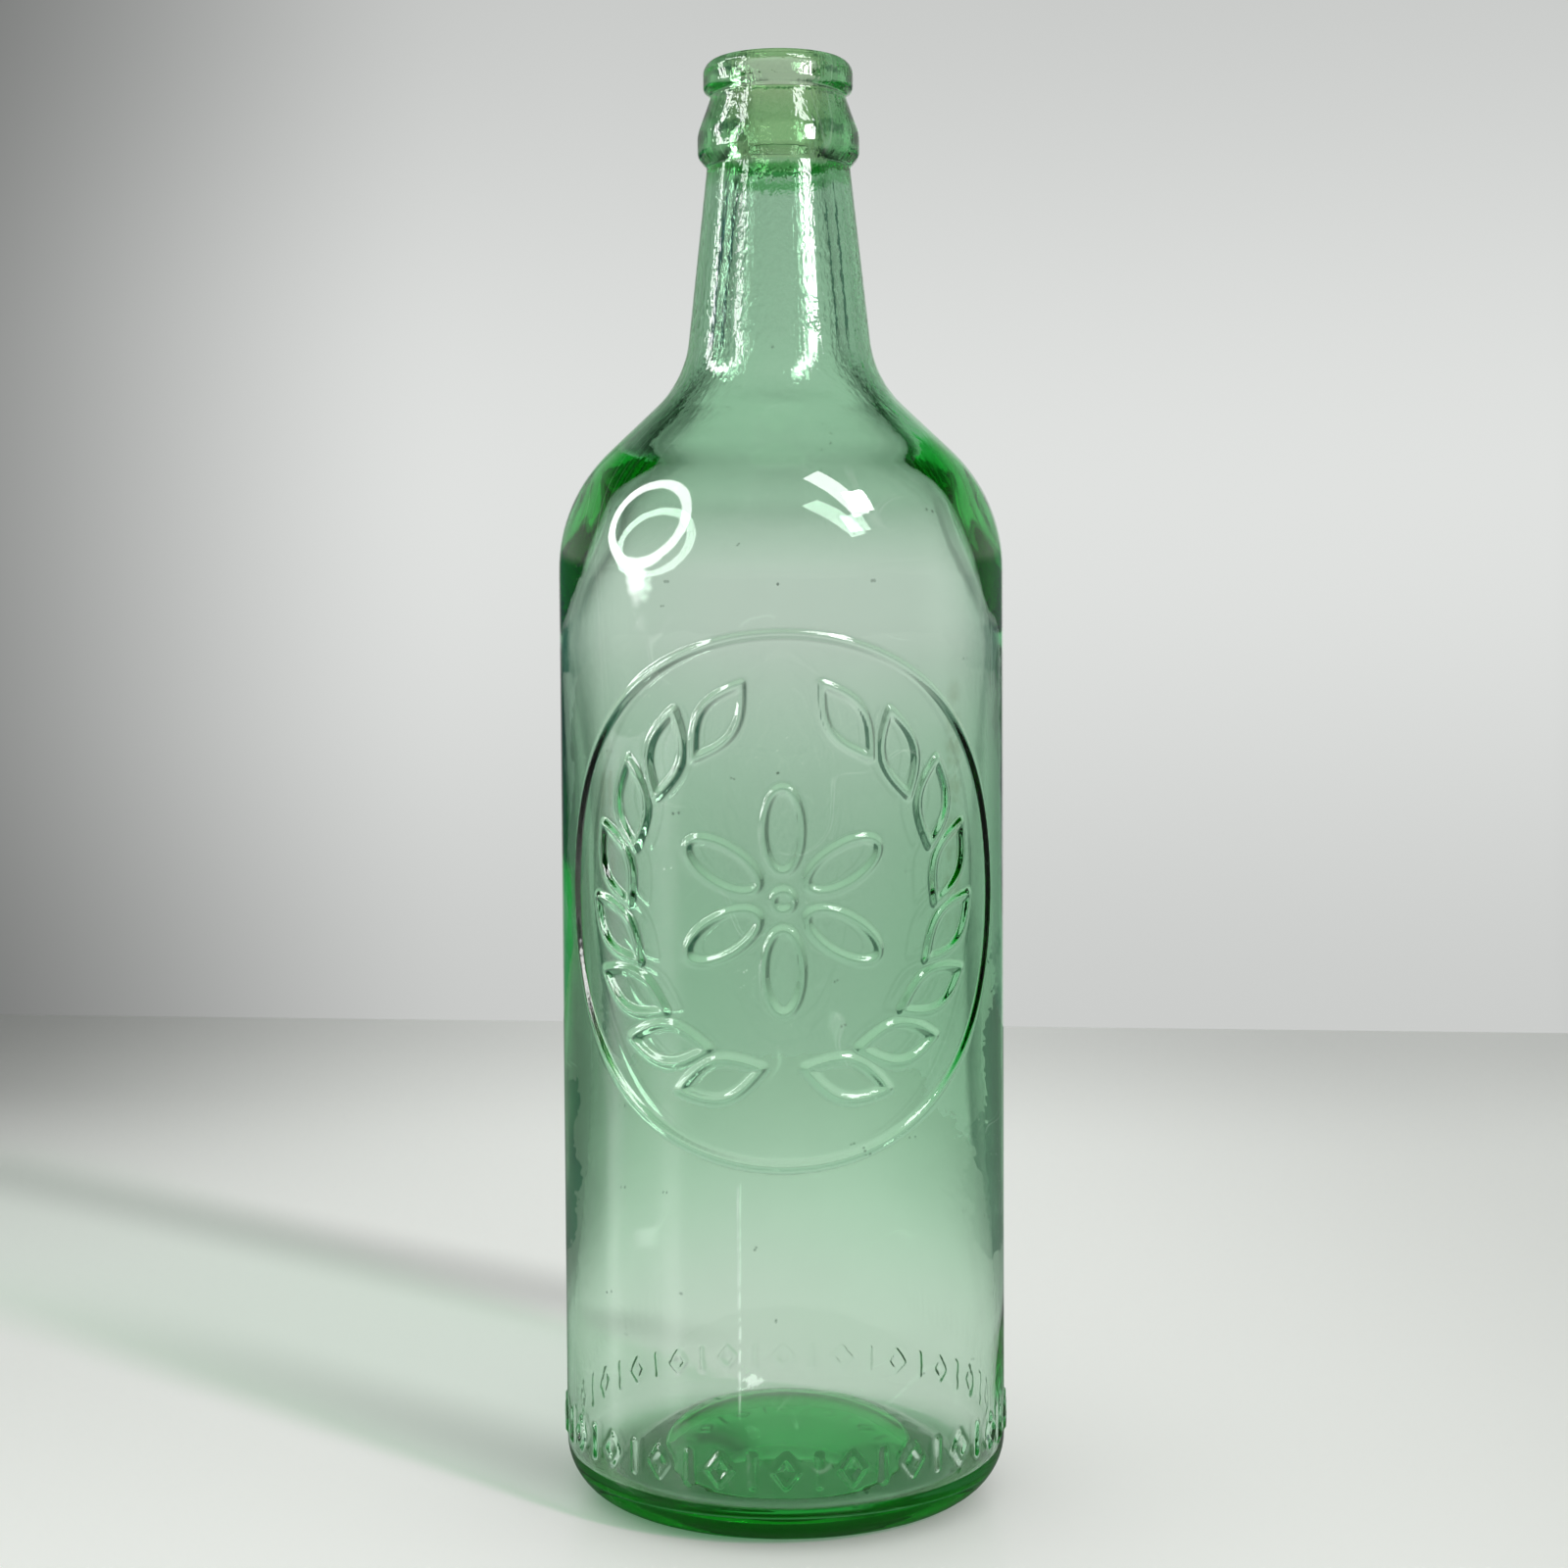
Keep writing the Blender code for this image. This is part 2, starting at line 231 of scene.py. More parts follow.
class GlassLook(bpy.types.PropertyGroup):
    """The glass, its colour and its faults."""

    refraction: bpy.props.FloatProperty(
        name="Index of refraction", description="Of soda-lime glass", default=1.52)
    tint: bpy.props.FloatVectorProperty(
        name="Tint", description="Colour that the glass lets through", subtype="COLOR", size=3,
        default=(0.18, 0.85, 0.40), min=0, max=1)
    tint_density: bpy.props.FloatProperty(
        name="Tint density", description="How fast the glass takes other colours, for each metre",
        default=100.0)
    film: bpy.props.FloatVectorProperty(
        name="Film", description="What the worn surface lets through", subtype="COLOR", size=3,
        default=(0.94, 0.945, 0.935), min=0, max=1)
    finish_tint: bpy.props.FloatVectorProperty(
        name="Finish tint", description="What the stained lip and bead let through",
        subtype="COLOR", size=3,
        default=(0.91, 0.88, 0.76), min=0, max=1)
    # Also how bright the scuffs' painted glow and the painted highlight are
    wear_and_glow: bpy.props.FloatProperty(
        name="Wear", description="How white the scuffs are", default=0.3, min=0, max=1)
    polish: bpy.props.FloatProperty(
        name="Polish", description="Roughness of clean glass", default=0.0)
    ripple: bpy.props.FloatProperty(
        name="Ripple", description="Depth of the glass's slow waves",
        default=0.00012, unit="LENGTH")
    neck_ripple: bpy.props.FloatProperty(
        name="Neck ripple", description="Share of the ripple in the neck's upright streaks",
        default=4.5)


class StageLook(bpy.types.PropertyGroup):
    """The table, the backdrop and the light."""

    table_colour: bpy.props.FloatVectorProperty(
        name="Table colour", description="The table's front", subtype="COLOR", size=3,
        default=(0.95, 0.96, 0.917), min=0, max=1)
    backdrop_colour: bpy.props.FloatVectorProperty(
        name="Backdrop colour", description="The backdrop's brightest part",
        subtype="COLOR", size=3,
        default=(0.745, 0.76, 0.745), min=0, max=1)
    bench_colour: bpy.props.FloatVectorProperty(
        name="Bench colour", description="The dark furniture to both sides of the backdrop",
        subtype="COLOR", size=3, default=(0.03, 0.10, 0.08), min=0, max=1)
    lamp_strength: bpy.props.FloatProperty(
        name="Lamp strength", description="How bright the ring and the bar lamps look in the glass",
        default=14.0)
    room_light: bpy.props.FloatProperty(
        name="Room light", description="Strength of the light from all round", default=0.76)
    key_power: bpy.props.FloatProperty(
        name="Key power", description="Power of the soft key light", default=10.0, unit="POWER")
    strip_power: bpy.props.FloatProperty(
        name="Strip power", description="Power of the small lamp that shows in the neck",
        default=0.09, unit="POWER")
    table_depth: bpy.props.FloatProperty(
        name="Table depth", description="From the bottle to the table's back edge",
        default=0.575, unit="LENGTH")
    table_turn: bpy.props.FloatProperty(
        name="Table turn", description="Turn of the table's back edge", default=math.radians(7.0),
        unit="ROTATION")


def rounded(corners):
    """Places along a chain of corners, each a (place, fillet radius, steps of its arc).

    A fillet touches both sides at reach = radius / tan(opening / 2) from its corner, and its places
    are centre + arm * exp(j * turn * t) for t from 0 to 1.
    """
    arcs = [np.array([corners[0][0]])]
    for (before, _, _), (corner, fillet, steps), (after, _, _) in zip(
            corners, corners[1:], corners[2:]):
        back, ahead = before - corner, after - corner
        if not fillet:
            arcs.append(np.array([corner]))
            continue
        half = abs(np.angle(ahead / back)) / 2
        reach = min(fillet / math.tan(half), LONGEST_FILLET_SHARE * min(abs(back), abs(ahead)))
        back, ahead = back / abs(back), ahead / abs(ahead)
        centre = corner + (back + ahead) / abs(back + ahead) * reach / math.cos(half)
        arm, end = corner + back * reach - centre, corner + ahead * reach - centre
        arcs.append(centre + arm * np.exp(1j * np.angle(end / arm) * np.linspace(0, 1, steps + 1)))
    arcs.append(np.array([corners[-1][0]]))
    return arcs


def filled(arcs, longest):
    """The arcs in one row, each straight side between them cut into steps of about the longest one.

    Its places lie at (1 - cos(pi t)) / 2 of its length, closer together at its ends.
    """
    pieces = []
    for arc, following in zip(arcs, arcs[1:]):
        start, end = arc[-1], following[0]
        count = int(np.ceil(abs(end - start) / longest)) + (2 if abs(end - start) > longest else 0)
        shares = (1 - np.cos(np.pi * np.linspace(0, 1, count + 1))) / 2
        pieces += [arc, (start + (end - start) * shares)[1:-1]]
    return np.concatenate(pieces + [arcs[-1]])


def dome(edge, apex_height):
    """A shallow dome, an arc about the axis, from its apex out to, but without, its edge."""
    rise = apex_height - edge.imag
    radius = (edge.real ** 2 + rise ** 2) / (2 * rise)
    swing = math.asin(min(1, edge.real / radius)) * np.arange(DOME_STEPS) / DOME_STEPS
    return radius * np.sin(swing) + 1j * (apex_height - radius * (1 - np.cos(swing)))


def crossing(start_a, along_a, start_b, along_b):
    """Where two lines on the half section meet."""
    gap = start_b - start_a
    return start_a + along_a * (np.conj(gap) * along_b).imag / (np.conj(along_a) * along_b).imag


def outer_lines(size):
    """A place and a direction for the barrel's, the shoulder's and the neck's outer faces."""
    barrel = complex(size.body_radius, size.shoulder_height)
    neck = complex(size.neck_radius, size.height - size.finish_depth)
    shoulder_way = UP * np.exp(1j * size.shoulder_slope)
    neck_way = UP * np.exp(1j * size.neck_taper)
    return (barrel, UP), (barrel, shoulder_way), (neck, neck_way)


def inset(line, wall):
    """The same line, moved into the bottle by the wall's thickness."""
    start, along = line
    return start + 1j * along * wall, along


def inside_rows(size):
    """The half section's inside, from the middle of its domed floor up to the mouth's edge."""
    barrel, shoulder, neck = outer_lines(size)
    inner_barrel, inner_neck = inset(barrel, size.body_wall), inset(neck, size.neck_wall)
    foot = inset(shoulder, size.shoulder_wall)[0]
    top = inset((crossing(*shoulder, *neck), shoulder[1]), size.shoulder_top_wall)[0]
    inner_shoulder = (foot, (top - foot) / abs(top - foot))
    floor_corner = crossing(*inner_barrel, complex(0, size.floor_height), 1)
    dome_edge = floor_corner - size.floor_inset
    bore_foot = crossing(*inner_neck, complex(0, size.height - size.finish_depth), 1)
    floor = dome(dome_edge, size.push_up_depth + size.base_wall)
    corners = [(place, 0, 0) for place in floor]
    corners += [
        (dome_edge, FLOOR_FILLET, 6),
        (floor_corner, FLOOR_FILLET, 9),
        (crossing(*inner_barrel, *inner_shoulder), size.shoulder_inner_fillet, 14),
        (crossing(*inner_shoulder, *inner_neck), size.neck_fillet + size.neck_wall, 10),
        (bore_foot, size.neck_fillet, 4),
        (complex(size.bore_radius, size.height), LIP_FILLET, 5),
        (complex(size.bore_radius + 3 * MILLIMETRE, size.height), 0, 0),
    ]
    return filled(rounded(corners)[:-1], INNER_STEP)


def outside_arcs(size):
    """The half section's outside, from the lip down and round the heel to the push-up's middle."""
    barrel, shoulder, neck = outer_lines(size)
    bearing_inner = size.body_radius - size.heel_fillet - size.bearing_width
    corners = [(complex(size.bore_radius, size.height), 0, 0)]
    corners += [
        (complex(radius * MILLIMETRE, size.height - depth * MILLIMETRE), fillet * MILLIMETRE, steps)
        for radius, depth, fillet, steps in FINISH_CORNERS]
    corners += [
        (neck[0], BEAD_FILLET, 4),
        (crossing(*shoulder, *neck), size.neck_fillet, 12),
        (shoulder[0], size.shoulder_fillet, 16),
        (complex(size.body_radius, 0), size.heel_fillet, 14),
        (complex(bearing_inner, 0), BEARING_FILLET, 5),
    ]
    push_up = dome(complex(bearing_inner, 0), size.push_up_depth)
    corners += [(place, 0, 0) for place in push_up[::-1]]
    return rounded(corners)[1:]


def oval(centre, long_radius, wide_radius, turn, count):
    """A closed line at centre + (long cos(t) + j wide sin(t)) turned by an angle."""
    swing = np.linspace(0, 2 * np.pi, count + 1)
    line = long_radius * np.cos(swing) + 1j * wide_radius * np.sin(swing)
    return centre + line * np.exp(1j * turn)


def leaf(size, turn, side):
    """A closed pointed line: the two sines across a leaf, laid at its turn on the wreath's ring."""
    share = np.linspace(0, 1, 19)
    upper = (share - 0.5) * size.leaf_length + 0.5j * np.sin(np.pi * share) * size.leaf_width
    outline = np.concatenate([upper, np.conj(upper[-2::-1])])
    lean = turn + np.pi / 2 - size.leaf_tilt
    place = size.wreath_radius * np.exp(1j * turn) + outline * np.exp(1j * lean)
    return side * place.real + 1j * (place.imag + size.medallion_height)


def medallion_lines(size):
    """The ring, the two branches of the wreath and the flower, on the unrolled barrel."""
    middle = complex(0, size.medallion_height)
    first = size.wreath_gap - np.pi / 2
    spread = -2 * first / size.leaves_each_side
    turns = first + spread * (np.arange(size.leaves_each_side) + 0.5)
    lines = [oval(middle, size.ring_radius, size.ring_radius, 0, 240),
             oval(middle, size.seed_radius, size.seed_radius, 0, 24)]
    lines += [leaf(size, turn, side) for side in (1, -1) for turn in turns]
    for turn in 2 * np.pi * (np.arange(size.petal_count) + 0.5) / size.petal_count:
        centre = middle + size.petal_ring_radius * np.exp(1j * turn)
        lines.append(oval(centre, size.petal_length / 2, size.petal_width / 2, turn, 48))
    return lines


def heel_lines(size, barrel_radius):
    """Upright lozenges round the heel and short bars between them, on the unrolled barrel."""
    pitch = 2 * np.pi * barrel_radius / size.heel_mark_pairs
    tall, wide = 0.5j * size.heel_mark_length, size.lozenge_width / 2
    lozenge = np.array([wide, tall, -wide, -tall, wide])
    bar = np.array([pitch / 2 - tall, pitch / 2 + tall])
    places = pitch * np.arange(-1, size.heel_mark_pairs + 1) + 1j * size.heel_band_height
    return [place + mark for place in places for mark in (lozenge, bar)]


def line_relief(places, lines, width, rise):
    """Height over the barrel of rounded lines: rise * (1 - (distance / half width)^2)^2."""
    nearest = np.full(places.shape, width)
    for line in lines:
        start, along = line[:-1], np.diff(line)
        low = complex(line.real.min(), line.imag.min()) - width * (1 + 1j)
        high = complex(line.real.max(), line.imag.max()) + width * (1 + 1j)
        near = ((places.real > low.real) & (places.real < high.real)
                & (places.imag > low.imag) & (places.imag < high.imag))
        offset = places[near][:, None] - start
        share = np.clip((offset * np.conj(along)).real / abs(along) ** 2, 0, 1)
        nearest[near] = np.minimum(nearest[near], abs(offset - share * along).min(axis=1))
    return rise * np.clip(1 - (nearest / (width / 2)) ** 2, 0, None) ** 2


class Skin:
    """Points in rows, and faces between the rows, gathered for one mesh."""

    def __init__(self):
        self.points, self.faces, self.count = [], [], 0

    def row(self, turns, places, closed=True):
        """Points at each place of the half section, turned round the axis from -Y towards +X.

        Gives their numbers; a closed row ends with its first number again.
        """
        turns, places = np.broadcast_arrays(turns, places)
        radius = places.real
        self.points.append(np.stack(
            [radius * np.sin(turns), -radius * np.cos(turns), places.imag], axis=-1).reshape(-1, 3))
        numbers = self.count + np.arange(turns.size).reshape(turns.shape)
        self.count += turns.size
        return np.concatenate([numbers, numbers[..., :1]], axis=-1) if closed else numbers

    def join(self, first, second):
        """Faces between two rows, where one may have several steps to each step of the other."""
        cells = min(len(first), len(second)) - 1
        steps_first, steps_second = (len(first) - 1) // cells, (len(second) - 1) // cells
        cell = np.arange(cells)[:, None]
        self.faces.append(np.concatenate(
            [second[cell * steps_second + np.arange(steps_second + 1)],
             first[cell * steps_first + np.arange(steps_first, -1, -1)]], axis=1))

    def chain(self, rows):
        """Faces between each row and the next."""
        for first, second in zip(rows, rows[1:]):
            self.join(first, second)

    def pole(self, row, place, ahead):
        """Triangles from a closed row to one point on the axis, which comes before or after it."""
        point = self.row(np.zeros(1), np.array([place]), closed=False)[0]
        ends = (row[:-1], row[1:]) if ahead else (row[1:], row[:-1])
        self.faces.append(np.stack([ends[0], ends[1], np.full(len(row) - 1, point)], axis=1))

    def mesh(self, name):
        """One smooth mesh of all points and faces."""
        points = np.concatenate(self.points)
        sizes = np.concatenate([np.full(len(faces), faces.shape[1]) for faces in self.faces])
        corners = np.concatenate([faces.ravel() for faces in self.faces])
        mesh = bpy.data.meshes.new(name)
        mesh.vertices.add(len(points))
        mesh.vertices.foreach_set("co", points.astype(np.float32).ravel())
        mesh.loops.add(len(corners))
        mesh.loops.foreach_set("vertex_index", corners.astype(np.int32))
        mesh.polygons.add(len(sizes))
        mesh.polygons.foreach_set("loop_start", (np.cumsum(sizes) - sizes).astype(np.int32))
        mesh.update(calc_edges=True)
        mesh.validate(verbose=True)
        mesh.shade_smooth()
        return mesh


def uneven(turns, heights):
    """How far the inner wall lies off its true round, in slow waves round and up the bottle."""
    waves = (0.30 * np.sin(2 * turns + 0.7 + 9 * heights)
             + 0.22 * np.sin(3 * turns - 1.9 - 23 * heights)
             + 0.16 * np.sin(5 * turns + 2.4 + 41 * heights)
             + 0.14 * np.sin(61 * heights + 0.4))
    return waves * WAVE_DEPTH


def inner_offsets(size, inside, turns):
    """How far the inner wall lies outside its half section, at each of its rows and each turn.

    The slow waves fade out at the floor's middle and at the lip. The belly draws the wall in by
    (1 - (rise / reach)^2)^1.2 of its thickness. The lobes draw it in by
    (1 - distance / reach)^1.3 * sin(turn)^14 of theirs, and reach less far up than down.
    """
    fade = np.clip((inside.real - 4 * MILLIMETRE) / (20 * MILLIMETRE), 0, 1)
    fade *= np.clip((size.height - inside.imag) / (60 * MILLIMETRE), 0, 1)
    rise = inside.imag - size.belly_height
    belly = np.clip(1 - (rise / size.belly_reach) ** 2, 0, 1) ** BELLY_POWER * size.belly_wall
    belly *= inside.real > size.body_radius - size.body_wall - MILLIMETRE
    rise = inside.imag - size.lobe_height
    reach = size.lobe_reach * np.where(rise > 0, LOBE_UPPER_SHARE, 1)
    lobe = np.clip(1 - np.hypot(rise, MILLIMETRE) / reach, 0, 1) ** LOBE_POWER
    offsets = fade[:, None] * uneven(turns, inside.imag[:, None]) - belly[:, None]
    return offsets - lobe[:, None] * np.sin(turns) ** LOBE_NARROWNESS * size.lobe_wall


def bottle_mesh(size, ornament):
    """The whole glass wall as one closed skin.

    Every point lies at (radius * sin(turn), -radius * cos(turn), height). Inside, the radius is the
    half section's plus the inner offsets. Outside, it is the half section's, plus the height of the
    raised lines on the medallion and the heel band, where the rows and columns are closer.
    """
    skin = Skin()
    turns = 2 * np.pi * np.arange(COLUMNS) / COLUMNS
    fine_turns = 2 * np.pi * np.arange(COLUMNS * FINE) / (COLUMNS * FINE)

    inside = inside_rows(size)
    inner = list(skin.row(turns, inside[1:, None] + inner_offsets(size, inside[1:], turns)))
    skin.pole(inner[0], inside[0], ahead=True)

    outside = filled(outside_arcs(size), OUTER_STEP)
    fine_step = 2 * np.pi * size.body_radius / (COLUMNS * FINE)
    reach = ornament.ring_radius + ornament.line_width / 2
    rows_up = FINE_ROWS * math.ceil(2 * reach / fine_step / FINE_ROWS)
    medallion = ornament.medallion_height + fine_step * (rows_up / 2 - np.arange(rows_up + 1))
    heel_reach = (ornament.heel_mark_length + ornament.heel_line_width) / 2 + fine_step
    heel_rows = 2 * math.ceil(heel_reach / fine_step) + 1
    heel = ornament.heel_band_height + np.linspace(heel_reach, -heel_reach, heel_rows)

    wide = outside.real > size.body_radius / 2

    def outer_radius(heights):
        """The barrel's and the heel's outer radius at these heights."""
        wall = outside[wide & (outside.imag < size.shoulder_height)]
        return np.interp(heights, wall.imag[::-1], wall.real[::-1])

    above = outside[:np.argmax((outside.imag < medallion[0] + fine_step) & wide)]
    upper = list(skin.row(turns, above[:, None]))
    skin.chain(inner + upper)

    # The medallion's fine grid, and the coarse grid that goes round behind it
    steps = np.arange(-MEDALLION_COLUMNS * FINE, MEDALLION_COLUMNS * FINE + 1)
    side_turns, heights = np.meshgrid(2 * np.pi * steps / (COLUMNS * FINE), medallion)
    relief = line_relief(side_turns * size.body_radius + 1j * heights, medallion_lines(ornament),
                         ornament.line_width, ornament.line_rise)
    front = skin.row(side_turns, outer_radius(heights) + relief + 1j * heights, closed=False)
    back_turns = turns[MEDALLION_COLUMNS + 1:COLUMNS - MEDALLION_COLUMNS]
    back_heights = medallion[::FINE_ROWS, None]
    back = skin.row(back_turns, outer_radius(back_heights) + 1j * back_heights, closed=False)
    skin.chain(list(front))
    skin.chain(list(back))
    skin.join(back[:, 0], front[:, -1])
    skin.join(front[:, 0], back[:, -1])

    # The coarse rows under the medallion, and the joins above and below its two grids
    plain = (outside.imag < medallion[-1] - fine_step) & (outside.imag > heel[0] + fine_step)
    between = list(skin.row(turns, outside[plain & (outside.real > size.neck_radius / 2), None]))
    for ring, edge, rest, ahead in (
            (upper[-1], front[0], back[0], True), (between[0], front[-1], back[-1], False)):
        across = np.concatenate([ring[COLUMNS - MEDALLION_COLUMNS:COLUMNS],
                                 ring[:MEDALLION_COLUMNS + 1]])
        behind = ring[MEDALLION_COLUMNS:COLUMNS - MEDALLION_COLUMNS + 1]
        whole = np.concatenate([edge[-1:], rest, edge[:1]])
        for pair in ((across, edge), (behind, whole)):
            skin.join(*(pair if ahead else pair[::-1]))

    # The heel band's fine rows, all round
    heel_turns, heights = np.meshgrid(fine_turns, heel)
    relief = line_relief(heel_turns * size.body_radius + 1j * heights,
                         heel_lines(ornament, size.body_radius),
                         ornament.heel_line_width, ornament.heel_line_rise)
    band = list(skin.row(heel_turns, outer_radius(heights) + relief + 1j * heights))
    start = np.argmax((outside.imag < heel[-1] - fine_step) & wide)
    base = list(skin.row(turns, outside[start:-1, None]))
    skin.chain(between + band + base)
    skin.pole(base[-1], outside[-1], ahead=False)
    return skin.mesh("bottle_glass")


class Wire:
    """A shader socket that Python's arithmetic works on: each sign adds a Math node."""

    def __init__(self, tree, socket=None):
        self.tree, self.socket = tree, socket

    def node(self, kind, sockets=None, output=0, **settings):
        """A node, its settings first and then its sockets' values or links, as one output."""
        node = self.tree.nodes.new("ShaderNode" + kind)
        for name, value in settings.items():
            setattr(node, name, value)
        for name, value in (sockets or {}).items():
            if isinstance(value, Wire):
                self.tree.links.new(value.socket, node.inputs[name])
            else:
                node.inputs[name].default_value = value
        return Wire(self.tree, node.outputs[output]) if len(node.outputs) else None

    def maths(self, operation, *values, clamp=False):
        return self.node("Math", dict(enumerate(values)), operation=operation, use_clamp=clamp)

    def __add__(self, other):
        return self.maths("ADD", self, other)

    def __sub__(self, other):
        return self.maths("SUBTRACT", self, other)

    def __rsub__(self, other):
        return self.maths("SUBTRACT", other, self)

    def __mul__(self, other):
        return self.maths("MULTIPLY", self, other)

    def __truediv__(self, other):
        return self.maths("DIVIDE", self, other)

    def size(self):
        return self.maths("ABSOLUTE", self)

    def smooth(self, low, high, start=0.0, end=1.0):
        """Start below low, end above high, and a smooth rise between them."""
        sockets = {"Value": self, "From Min": low, "From Max": high, "To Min": start, "To Max": end}
        return self.node("MapRange", sockets, interpolation_type="SMOOTHSTEP")

    def near(self, core, reach):
        """One within core of zero, none beyond reach, and a smooth fall between them."""
        return self.size().smooth(core, reach, 1.0, 0.0)

    def parts(self):
        """The three numbers of a vector."""
        split = self.node("SeparateXYZ", {0: self}).socket.node
        return [Wire(self.tree, output) for output in split.outputs]

    def blend(self, factor, first, second):
        """A colour between two: the Mix node's sockets 6 and 7, and its output 2."""
        return self.node("Mix", {"Factor": factor, 6: first, 7: second}, output=2, data_type="RGBA")

    def dot(self, vector):
        """The vector's length along another."""
        return self.node(
            "VectorMath", {0: self, 1: vector}, output="Value", operation="DOT_PRODUCT")

    def ray(self, what):
        """What kind of ray this is, or how many bounces lie behind it."""
        return self.node("LightPath", output=what)


def empty_tree(owner):
    """The owner's node tree without its nodes, as a Wire that adds nodes to it."""
    owner.use_nodes = True
    owner.node_tree.nodes.clear()
    return Wire(owner.node_tree)


class GlassSkin:
    """Places on the glass, on its unrolled surface too, the marks that it bears, and painted shade
    and highlight.
    """

    def __init__(self, wire, outline):
        self.wire, self.outline = wire, outline
        self.place = wire.node("TexCoord", output="Object")
        x, y, self.z = self.place.parts()
        self.turn = wire.maths("ARCTAN2", x, y * -1)
        self.flat = wire.node("CombineXYZ", {0: self.turn * outline.body_radius, 1: self.z})
        self.neck = self.z.smooth(0.186, 0.204)

    def noise(self, scale, detail=0.0, stretch=(1, 1, 1)):
        """A noise over the unrolled bottle."""
        vector = self.wire.node("VectorMath", {0: self.flat, 1: stretch}, operation="MULTIPLY")
        return self.wire.node("TexNoise", {"Vector": vector, "Scale": scale, "Detail": detail})

    def hair(self, scale, width, threshold, stretch=(1, 1, 1)):
        """Thin broken lines where one noise crosses a half and another is high."""
        lines = (self.noise(scale, 1.0, stretch) - 0.5).near(0.0, width)
        return lines * self.noise(scale * 1.7, 0.0, stretch).smooth(threshold, threshold + 0.05)

    def stain(self, turn, height, width, reach):
        """A speckled patch round one place, its half width in radians."""
        patch = (self.turn - turn).near(0.0, width) * (self.z - height).near(reach * 0.5, reach)
        return patch * self.noise(300.0, 3.0).smooth(0.35, 0.6)

    def painted_neck_shade(self, turn, lean, width):
        """A ragged upright line of painted shade in the neck, leaning so many radians a metre."""
        foot, top, middle = (0.2010, 0.2060), (0.2330, 0.2350), 0.2316
        jitter = (self.noise(500.0, 2.0) - 0.5) * 0.10
        off = self.turn - ((self.z - middle) * lean + turn) + jitter
        line = off.near(width * 0.6, width) * self.z.smooth(*foot) * self.z.smooth(*top, 1.0, 0.0)
        return line * self.noise(240.0, 2.0, (1, 0.4, 1)).smooth(0.38, 0.50)

    def seeds(self):
        """Small dark bubbles in some of the cells of a scattered pattern."""
        cells = self.wire.node(
            "TexVoronoi", {"Vector": self.flat, "Scale": 62.0}, voronoi_dimensions="2D")
        pick = Wire(self.wire.tree, cells.socket.node.outputs["Color"]).parts()[0]
        round_spots = (cells + self.noise(900.0, 1.0) * 0.03).smooth(0.026, 0.036, 1.0, 0.0)
        return round_spots * pick.smooth(0.62, 0.64)

    def ripples(self, look):
        """The normal of the skin's waves and peel, and of the neck's upright streaks."""
        slow = self.wire.node("TexNoise", {"Vector": self.place, "Scale": 55.0, "Detail": 1.0})
        peel = self.wire.node("TexNoise", {"Vector": self.place, "Scale": 420.0, "Detail": 1.0})
        streaks = self.noise(520.0, 0.0, (1, 0.12, 1)) * 0.05
        streaks = streaks + self.noise(640.0, 2.0, (0.55, 1, 1)) * 0.16
        height = (slow + peel * 0.05 + streaks * self.neck * look.neck_ripple) * look.ripple
        return self.wire.node("Bump", {"Height": height, "Strength": 1.0, "Distance": 1.0})

    def colour(self, look):
        """What the surface lets through: film, tinted finish, stains, painted shade lines in the
        neck, and seeds.
        """
        blend, lip = self.wire.blend, self.outline.height
        green, brown, grey = (0.10, 0.55, 0.14, 1), (0.42, 0.36, 0.22, 1), (0.03, 0.06, 0.04, 1)
        shade_navy, shade_dark_green = (0.01, 0.05, 0.07, 1), (0.03, 0.10, 0.08, 1)
        ragged = self.z + (self.noise(700.0, 2.0) - 0.5) * 0.0016
        finish = ragged.smooth(lip - 0.0192, lip - 0.0182)
        colour = blend(finish, (*look.film, 1), (*look.finish_tint, 1))
        under_finish = (ragged - (lip - 0.0205)).near(0.0005, 0.0011)
        colour = blend(under_finish * 0.75, colour, green)
        # Darker round the barrel's middle height, and a little in the neck
        darker_middle_and_neck = (self.z - 0.102).size().smooth(0.010, 0.040, 0.07, 0.0) + self.neck * 0.06
        colour = blend(darker_middle_and_neck, colour, BLACK)
        for stain in (self.stain(turn=-0.88, height=0.124, width=0.035, reach=0.016),
                      self.stain(turn=0.845, height=0.126, width=0.05, reach=0.026)):
            colour = blend(stain * 0.5, colour, brown)
        # Painted shade: two dark upright lines in the neck, where a flaw in the glass bends light
        # away
        colour = blend(self.painted_neck_shade(turn=-0.745, lean=2.6, width=0.042), colour, shade_navy)
        colour = blend(self.painted_neck_shade(turn=0.82, lean=0.0, width=0.026), colour, shade_dark_green)
        return blend(self.seeds() * 0.6, colour, grey)

    def worn(self, look):
        """How far the skin is scuffed white: hairs, a hairline, a painted highlight, and specks."""
        scuffs = self.hair(38.0, 0.0030, 0.60) * 0.25
        scuffs = scuffs + self.hair(9.0, 0.0009, 0.56, (1, 0.25, 1)) * 0.25
        hairline = (self.turn + 0.195 + self.noise(120.0) * 0.008).near(0.0, 0.007)
        hairline = hairline * (self.z - 0.045).near(0.014, 0.023)
        # Painted highlight: a small bright glint low on the front, next to the hairline, added to
        # the scuffs
        painted_highlight = (self.turn + 0.145).size() * 16.0 + (self.z - 0.0297).size() * 650.0
        painted_highlight = painted_highlight + (self.noise(900.0, 2.0) - 0.5) * 2.4
        scuffs = scuffs + hairline * self.noise(260.0, 2.0).smooth(0.40, 0.55) * 1.4
        scuffs = scuffs + painted_highlight.smooth(0.45, 0.80, 1.8, 0.0)
        specks = self.noise(1900.0).smooth(0.78, 0.84) * self.noise(70.0, 2.0).smooth(0.52, 0.68)
        return self.wire.maths("ADD", scuffs, specks * 0.6, clamp=True) * look.wear_and_glow


